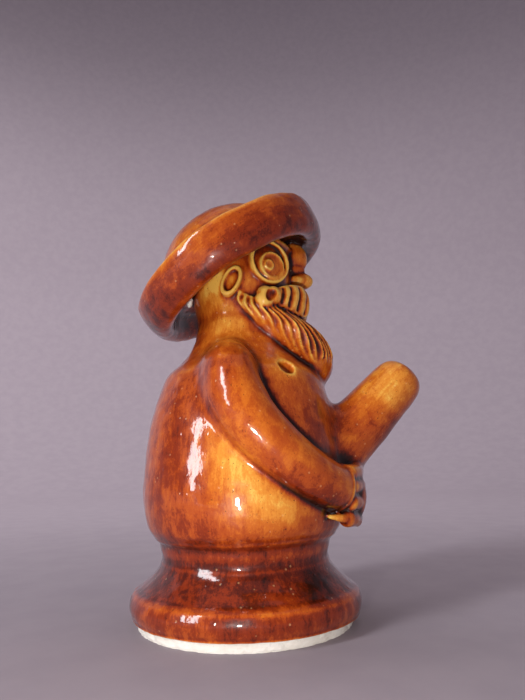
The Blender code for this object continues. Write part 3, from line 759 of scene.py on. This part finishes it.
def brush_place(points):
    """The way the glaze was brushed or ran: a place that changes slowly along the strokes."""
    place = points * np.array([1.0, 1.0, 0.16])
    hat = is_part("hat_") > 0
    x, y, z = placed(points[hat], np.linalg.inv(np.array(hat_frame()))).T
    radius = np.maximum(np.hypot(x, y), 1.0)
    place[hat] = np.column_stack([7.0 * x / radius, 7.0 * y / radius, radius - z])
    spout = is_part("front_spout") > 0
    in_spout = placed(points[spout], np.linalg.inv(np.array(spout_frame())))
    place[spout] = in_spout * np.array([1.0, 1.0, 0.2])
    for name, side in (("sleeve_right", 1.0), ("sleeve_left", -1.0)):
        own = is_part(name) > 0
        place[own] = along_path(points[own] * np.array([side, 1.0, 1.0]), SLEEVE, 0.2) + 40.0 * side
    return place


# Painted shade: the brim is made darker on its underside and lower band.
under_brim_shade = np.clip(-(placed(points, hat_frame().inverted())[:, 2] + 1.0) / 7.0, 0.0, 1.0)
load_and_shade += soft_mask(is_part("hat_brim"), 6) * 0.30 * under_brim_shade
sleeve = is_part("sleeve")
# Painted shade: the sleeves are made darker where they face downwards.
load_and_shade += soft_mask(sleeve * np.clip(-normals[:, 2] - 0.1, 0.0, 1.0), 8) * 0.52
load_and_shade += soft_mask(sleeve, 8) * 0.09
load_and_shade += soft_mask(sleeve, 8) * 0.04 * near(on_the_right(points), (-30, -27, 44), (10, 10, 10))
glaze_load_and_shade = np.clip(load_and_shade, -1.0, 1.0)
glaze_pool = np.clip(pool, -1.5, 1.5)
brush = brush_place(points)


# ---- materials ----

BLACK = (0.0, 0.0, 0.0)
WHITE = (1.0, 1.0, 1.0)
IRON = (0.035, 0.008, 0.003, 1.0)
BROKEN_BUBBLE = (0.80, 0.50, 0.22, 1.0)
GRIT = (0.46, 0.34, 0.24, 1.0)
CLAY_STOPS = [(0.3, (0.78, 0.74, 0.66)), (0.7, (0.88, 0.86, 0.80))]
PAPER_STOPS = [(0.3, (0.350, 0.304, 0.343)), (0.7, (0.375, 0.326, 0.364))]
# Treacle glaze from thin honey over pale clay to a near-black pool.
GLAZE_STOPS = [(0.00, (0.73, 0.415, 0.075)), (0.18, (0.64, 0.235, 0.028)), (0.36, (0.49, 0.118, 0.010)),
               (0.52, (0.36, 0.060, 0.006)), (0.68, (0.20, 0.022, 0.003)), (0.85, (0.075, 0.008, 0.002)),
               (1.00, (0.018, 0.004, 0.002))]
SLOT_OF = {"base_flange": "glaze_dark", "body_shell": "glaze_brown", "hat_brim": "glaze_brown",
           "hat_crown": "glaze_brown"}  # every other glazed piece is glaze_honey


class Nodes:
    """Short names for building a material's node tree."""

    def __init__(self, name):
        self.material = bpy.data.materials.new(name)
        self.material.use_nodes = True
        self.tree = self.material.node_tree
        self.shader = self.tree.nodes["Principled BSDF"]

    def add(self, kind, **settings):
        node = self.tree.nodes.new(kind)
        for key, value in settings.items():
            setattr(node, key, value)
        return node

    def put(self, value, socket):
        if isinstance(value, bpy.types.NodeSocket):
            self.tree.links.new(value, socket)
        else:
            socket.default_value = value

    def math(self, operation, a, b=0.0, c=0.0, clamp=False):
        node = self.add("ShaderNodeMath", operation=operation, use_clamp=clamp)
        for socket, value in zip(node.inputs, (a, b, c)):
            self.put(value, socket)
        return node.outputs[0]

    def mix(self, factor, a, b):
        node = self.add("ShaderNodeMix", data_type="RGBA")
        self.put(factor, node.inputs["Factor"])
        for name, value in (("A", a), ("B", b)):
            socket = [s for s in node.inputs if s.name == name and s.type == "RGBA"][0]
            self.put(value, socket)
        return [s for s in node.outputs if s.type == "RGBA"][0]

    def noise(self, vector, scale, detail=3.0, roughness=0.55, distortion=0.0):
        node = self.add("ShaderNodeTexNoise")
        self.put(vector, node.inputs["Vector"])
        for name, value in (("Scale", scale), ("Detail", detail), ("Roughness", roughness),
                            ("Distortion", distortion)):
            node.inputs[name].default_value = value
        return node.outputs["Fac"]

    def points(self, density, inner, outer):
        """Scattered round dots: density cells to the millimetre, and where a dot starts and stops fading."""
        cells = self.add("ShaderNodeTexVoronoi")
        self.put(self.stretched((density,) * 3), cells.inputs["Vector"])
        cells.inputs["Scale"].default_value = 1.0
        return self.ramp(cells.outputs["Distance"], [(inner, WHITE), (outer, BLACK)], "LINEAR")

    def stretched(self, scale):
        """The place on the figurine, in millimetres and stretched."""
        coordinates = self.add("ShaderNodeTexCoord").outputs["Object"]
        node = self.add("ShaderNodeMapping", vector_type="POINT")
        self.put(coordinates, node.inputs["Vector"])
        node.inputs["Scale"].default_value = [1000.0 * value for value in scale]
        return node.outputs[0]

    def attribute(self, name, output="Fac"):
        return self.add("ShaderNodeAttribute", attribute_name=name).outputs[output]

    def ramp(self, factor, stops, interpolation="EASE"):
        node = self.add("ShaderNodeValToRGB")
        node.color_ramp.interpolation = interpolation
        elements = node.color_ramp.elements
        while len(elements) < len(stops):
            elements.new(0.5)
        for element, (position, colour) in zip(elements, stops):
            element.position = position
            element.color = (*colour, 1.0)
        self.put(factor, node.inputs[0])
        return node.outputs[0]

    def bump(self, height, strength, distance):
        node = self.add("ShaderNodeBump")
        node.inputs["Strength"].default_value = strength
        node.inputs["Distance"].default_value = distance * MM
        self.put(height, node.inputs["Height"])
        return node.outputs[0]


def glaze(name):
    """A glossy glaze whose colour follows how deep it lies and the painted shade laid into it."""
    n = Nodes(name)
    pool_at, load_and_shade_at = n.attribute("glaze_pool"), n.attribute("glaze_load_and_shade")
    stroke = n.attribute("brush", "Vector")
    patches = n.noise(n.stretched((0.07, 0.07, 0.055)), 1.0, 4.0, 0.6, 0.4)
    mottle = n.noise(n.stretched((0.30, 0.30, 0.22)), 1.0, 5.0, 0.65, 0.6)
    broad = n.noise(stroke, 0.28, 3.0, 0.6, 0.5)
    hairs = n.noise(stroke, 1.15, 4.0, 0.65, 0.3)
    grain = n.noise(n.stretched((1.9, 1.9, 1.5)), 1.0, 3.0, 0.7)
    depth = 0.50
    for noise, gain in ((patches, 0.40), (mottle, 0.50), (broad, 0.34), (hairs, 0.30), (grain, 0.26)):
        depth = n.math("MULTIPLY_ADD", n.math("SUBTRACT", noise, 0.5), gain, depth)
    # The load brings in the glaze's thickness together with the painted shade.
    depth = n.math("ADD", depth, load_and_shade_at)
    depth = n.math("ADD", depth, pool_at, clamp=True)
    colour = n.ramp(depth, GLAZE_STOPS)
    # Iron specks and the small pale points where a bubble broke.
    speck = n.noise(n.stretched((1.3, 1.3, 1.3)), 1.0, 1.0, 0.5)
    speck = n.ramp(speck, [(0.71, BLACK), (0.78, WHITE)], "LINEAR")
    colour = n.mix(n.math("MULTIPLY", speck, 0.75), colour, IRON)
    pit = n.points(0.27, 0.07, 0.11)
    colour = n.mix(n.math("MULTIPLY", pit, 0.22), colour, BROKEN_BUBBLE)
    n.put(colour, n.shader.inputs["Base Color"])
    ripple = n.noise(n.stretched((0.30, 0.30, 0.22)), 1.0, 2.0, 0.45)
    orange_peel = n.noise(n.stretched((1.4, 1.4, 1.4)), 1.0, 2.0, 0.5)
    relief = n.math("MULTIPLY_ADD", orange_peel, 0.16, ripple)
    relief = n.math("MULTIPLY_ADD", hairs, 0.12, relief)
    relief = n.math("MULTIPLY_ADD", pit, -0.6, relief)
    relief = n.math("MULTIPLY_ADD", n.points(0.16, 0.05, 0.13), 0.9, relief)
    normal = n.bump(relief, 0.30, 0.35)
    n.put(normal, n.shader.inputs["Normal"])
    n.put(normal, n.shader.inputs["Coat Normal"])
    n.put(n.math("MULTIPLY_ADD", mottle, 0.14, 0.24), n.shader.inputs["Roughness"])
    for socket, value in (("Coat Weight", 1.0), ("Coat Roughness", 0.045), ("Coat IOR", 1.46),
                          ("Specular IOR Level", 0.12)):
        n.shader.inputs[socket].default_value = value
    return n.material


def clay(name):
    """Matt cream clay with coarse grit in it."""
    n = Nodes(name)
    cloud = n.noise(n.stretched((0.12, 0.12, 0.2)), 1.0, 4.0, 0.6)
    sand = n.noise(n.stretched((2.2, 2.2, 2.2)), 1.0, 4.0, 0.7)
    colour = n.ramp(cloud, CLAY_STOPS)
    grit = n.ramp(sand, [(0.62, BLACK), (0.72, WHITE)], "LINEAR")
    colour = n.mix(n.math("MULTIPLY", grit, 0.45), colour, GRIT)
    n.put(colour, n.shader.inputs["Base Color"])
    n.put(n.bump(n.math("MULTIPLY_ADD", cloud, 0.6, sand), 0.9, 0.4), n.shader.inputs["Normal"])
    n.put(n.math("MULTIPLY_ADD", sand, 0.2, 0.72), n.shader.inputs["Roughness"])
    return n.material


MATERIALS = {name: glaze(name) for name in ("glaze_brown", "glaze_honey", "glaze_dark")}
MATERIALS["bare_clay"] = clay("bare_clay")


# ---- parting the skin ----

def add_field(mesh, name, values):
    if values.ndim == 1:
        mesh.attributes.new(name, "FLOAT", "POINT").data.foreach_set("value", values)
    else:
        mesh.attributes.new(name, "FLOAT_VECTOR", "POINT").data.foreach_set("vector", values.ravel())


def cut_piece(name):
    """The stretch of the skin that lies over one node."""
    own = faces[owner == names.index(name)]
    used, local = np.unique(own, return_inverse=True)
    mesh = bpy.data.meshes.new(name)
    mesh.from_pydata((points[used] * MM).tolist(), [], local.reshape(-1, 4).tolist())
    mesh.shade_smooth()
    add_field(mesh, "glaze_pool", glaze_pool[used])
    add_field(mesh, "glaze_load_and_shade", glaze_load_and_shade[used])
    add_field(mesh, "brush", brush[used])
    mesh.normals_split_custom_set_from_vertices(normals[used].tolist())
    finish_piece(name + "_glazed", mesh, name, SLOT_OF.get(name, "glaze_honey"))


def finish_piece(piece_name, mesh, node, slot):
    obj = shown(piece_name, mesh)
    mesh.materials.append(MATERIALS[slot])
    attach(obj, BODY)
    if node:
        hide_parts(node)


for name in names:
    cut_piece(name)


def make_foot():
    """The bare foot: turned flat, with the rough bevel that a wire leaves."""
    profile = [(0.0, 0.0), (30.0, 0.0), (FOOT_RADIUS - 0.9, 0.0), (FOOT_RADIUS - 0.25, 0.25),
               (FOOT_RADIUS, 0.9), (FOOT_RADIUS - 0.05, 2.2), (FOOT_RADIUS - 0.3, 3.4), (30.0, 4.6),
               (0.0, 5.0)]

    def rough(angle, radius, height):
        edge = np.clip((radius - 33.0) / 3.0, 0.0, 1.0)
        chip = 0.20 * np.sin(13 * angle) + 0.15 * np.sin(29 * angle + 1.0)
        chip += 0.12 * np.sin(61 * angle + 2 * height) + 0.08 * np.sin(113 * angle - 3 * height)
        return radius - edge * np.abs(chip), np.maximum(height, 0.0)

    return thrown(profile, shape=rough, sides=360)


foot = mesh_of("foot_slab", make_foot())
foot.shade_smooth()
finish_piece("foot_slab_bare", foot, "foot_slab", "bare_clay")


def make_crumb():
    """A crumb of bare clay that stuck where the neck meets the hat."""
    points, faces = ball((0.0, 0.0, 0.0), CRUMB_SIZE, sides=48)
    points = points * (1.0 + 0.16 * wander(points, 1.9, 9) + 0.07 * wander(points, 0.8, 10))[:, None]
    return points + np.array(CRUMB_PLACE), faces


crumb = mesh_of("crumb", make_crumb())
crumb.shade_smooth()
finish_piece("neck_crumb_bare", crumb, None, "bare_clay")


# ---- stage, camera and lights ----

def make_stage():
    """A round pale floor that sweeps up all round into a wall, so that no edge shows."""
    radius, corner, top, sides = 1500.0, 700.0, 2600.0, 96
    bend = [(radius - corner + corner * math.sin(a), corner - corner * math.cos(a))
            for a in np.radians(np.linspace(0.0, 90.0, 24))]
    line = np.array([(0.05, 0.0), (60.0, 0.0), (300.0, 0.0), *bend, (radius, top)])
    angle = np.linspace(0.0, 2 * np.pi, sides, endpoint=False)
    rings = np.stack([line[:, :1] * np.cos(angle), line[:, :1] * np.sin(angle), line[:, 1:] + 0 * angle], -1)
    mesh = bpy.data.meshes.new("floor")
    mesh.from_pydata((rings.reshape(-1, 3) * MM).tolist(), [], grid_faces(len(line), sides, wrap=True))
    mesh.shade_smooth()
    n = Nodes("floor")
    paper = n.noise(n.stretched((0.05, 0.05, 0.05)), 1.0, 4.0, 0.6)
    # Painted light and shade: the paper is darker at the middle of the floor and high on the wall, and
    # brightest where the floor sweeps up.
    away = n.add("ShaderNodeVectorMath", operation="LENGTH")
    n.put(n.stretched((1 / top,) * 3), away.inputs[0])
    painted_falloff = n.ramp(away.outputs["Value"], [(0.02, (0.82,) * 3), (0.14, (1.0,) * 3), (0.60, (1.10,) * 3),
                                            (0.68, (1.0,) * 3), (0.80, (0.85,) * 3)], "LINEAR")
    colour = n.ramp(paper, PAPER_STOPS)
    shaded = n.add("ShaderNodeVectorMath", operation="MULTIPLY")
    n.put(colour, shaded.inputs[0])
    n.put(painted_falloff, shaded.inputs[1])
    n.put(shaded.outputs["Vector"], n.shader.inputs["Base Color"])
    n.shader.inputs["Roughness"].default_value = 0.85
    mesh.materials.append(n.material)
    shown("floor", mesh)


def aimed(obj, at):
    obj.rotation_mode = "QUATERNION"
    obj.rotation_quaternion = (Vector(at) - obj.location).to_track_quat("-Z", "Y")


def area_light(name, location, at, size, power, colour=(1.0, 1.0, 1.0), mirrored_in_glaze=True):
    lamp = bpy.data.lights.new(name, "AREA")
    lamp.shape = "RECTANGLE"
    lamp.size, lamp.size_y = size
    lamp.energy = power
    lamp.color = colour
    obj = bpy.data.objects.new(name, lamp)
    obj.location = location
    aimed(obj, at)
    obj.visible_glossy = mirrored_in_glaze
    obj.visible_camera = False
    bpy.context.scene.collection.objects.link(obj)


CAMERA_PLACE = Vector((-0.204, -0.0077, 0.0516))  # metres
CAMERA_PITCH = math.radians(12.03)
CAMERA_ROLL = math.radians(-1.28)
SENSOR = 36.0
LENS = 28.03


def make_camera():
    """A camera that looks along +X, pitched up and rolled."""
    data = bpy.data.cameras.new("camera")
    data.sensor_width = SENSOR
    data.lens = LENS
    data.clip_start = 0.01
    obj = bpy.data.objects.new("camera", data)
    ahead = Vector((math.cos(CAMERA_PITCH), 0.0, math.sin(CAMERA_PITCH)))
    up = Vector((-math.sin(CAMERA_PITCH), 0.0, math.cos(CAMERA_PITCH)))
    side = Vector((0.0, -1.0, 0.0))
    across = side * math.cos(CAMERA_ROLL) + up * math.sin(CAMERA_ROLL)
    above = up * math.cos(CAMERA_ROLL) - side * math.sin(CAMERA_ROLL)
    turn = Matrix((across, above, -ahead)).transposed().to_4x4()
    turn.translation = CAMERA_PLACE
    obj.matrix_world = turn
    bpy.context.scene.collection.objects.link(obj)
    bpy.context.scene.camera = obj


make_stage()
make_camera()
# Places and sizes in metres, power in watts.
area_light("window", (-0.52, 0.66, 0.46), (0, 0, 0.07), (0.15, 0.72), 6.4, (0.97, 0.97, 1.0))
area_light("flash", (-0.203, 0.020, 0.024), (0, 0, 0.07), (0.008, 0.008), 0.29, (1.0, 0.95, 0.90))
area_light("ceiling", (-0.1, 0.0, 2.3), (-0.1, 0, 0.0), (2.0, 2.0), 8.0, (0.98, 0.96, 1.0), False)
area_light("right_fill", (-0.5, -1.2, 0.7), (0, 0, 0.07), (1.2, 1.2), 3.8, (1.0, 0.88, 0.80), False)
area_light("backdrop_light", (0.42, 0.4, 0.95), (1.4, 0.45, 0.1), (1.8, 0.6), 10.0, (1.0, 0.97, 0.98), False)

world = bpy.data.worlds.new("studio")
bpy.context.scene.world = world
world.use_nodes = True
background = world.node_tree.nodes["Background"]
background.inputs["Color"].default_value = (0.62, 0.56, 0.66, 1.0)
background.inputs["Strength"].default_value = 0.40
bpy.context.scene.view_settings.view_transform = "Standard"
